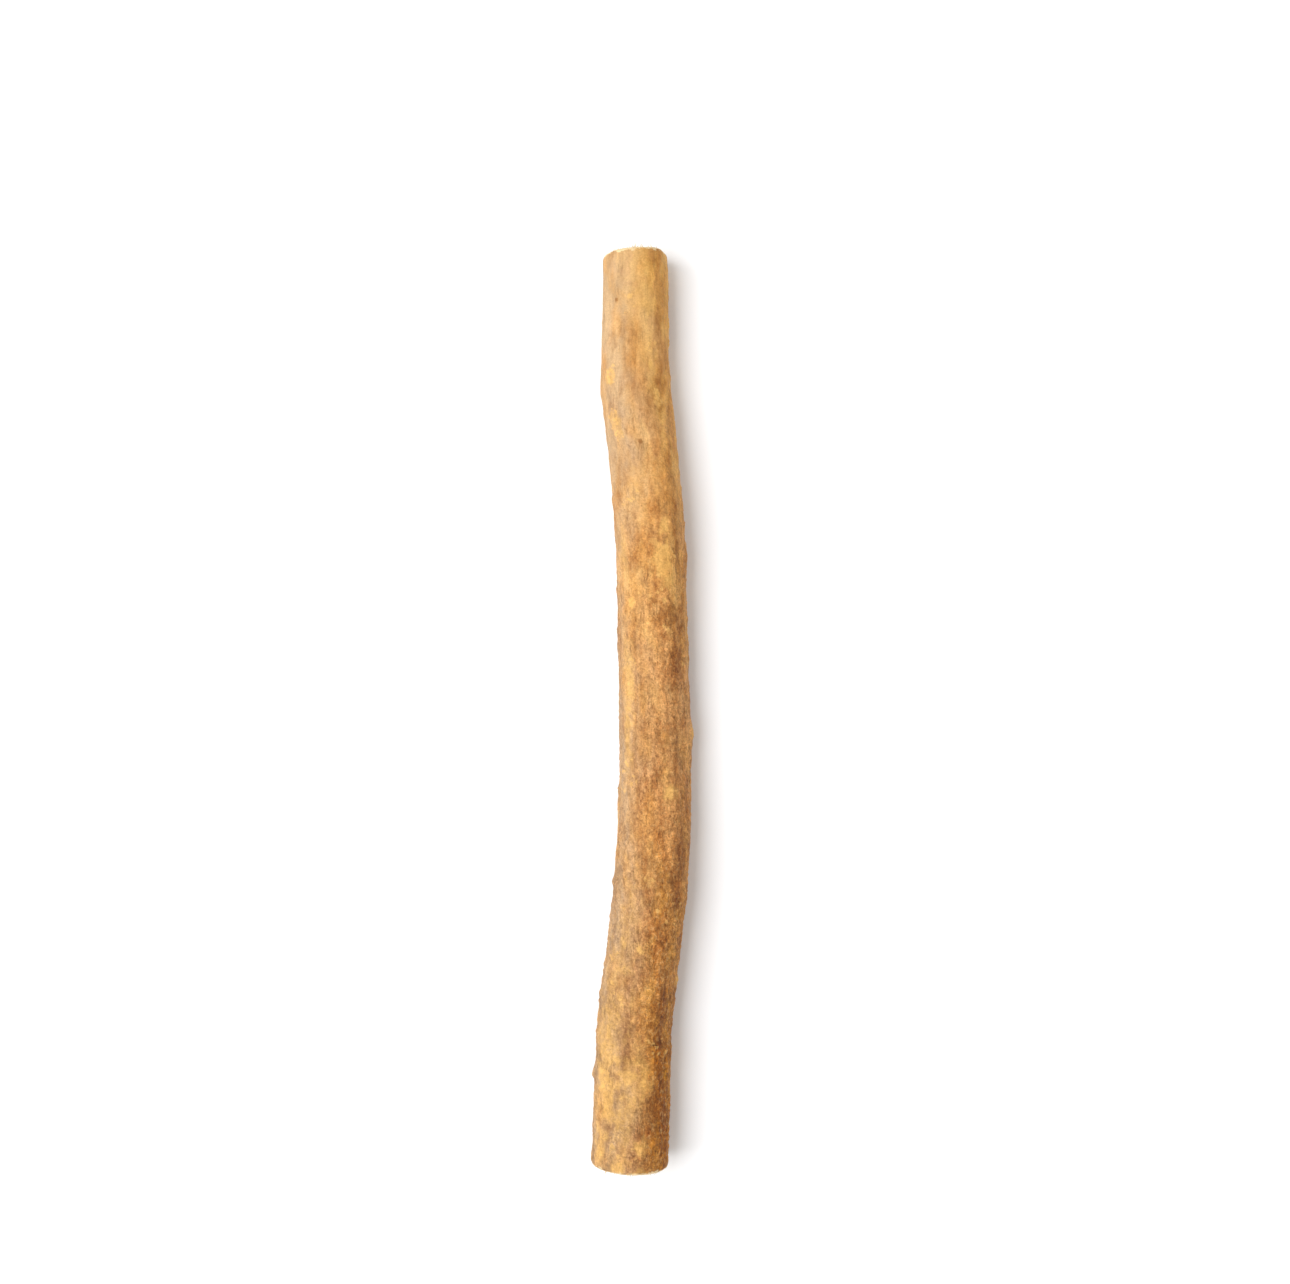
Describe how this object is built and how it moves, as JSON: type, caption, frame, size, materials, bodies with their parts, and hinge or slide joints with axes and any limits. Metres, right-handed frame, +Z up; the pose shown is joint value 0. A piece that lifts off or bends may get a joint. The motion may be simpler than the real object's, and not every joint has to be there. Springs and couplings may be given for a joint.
{
  "type": "miswak stick",
  "caption": "Slim, gently bowed length of natural tooth-brush root with tan warty bark and two flat cut ends, lying on its side; chewed to clean teeth.",
  "frame": {"origin": "on the table, under the middle of the stick's box", "axes": "+Y along the stick towards its thinner end, +X to the side that it bows to, +Z up"},
  "size_m": [0.0178, 0.16, 0.0131],
  "materials": {
    "bark": "dry matt bark"
  },
  "bodies": {
    "root": {"stick": "bark"}
  },
  "joints": []
}
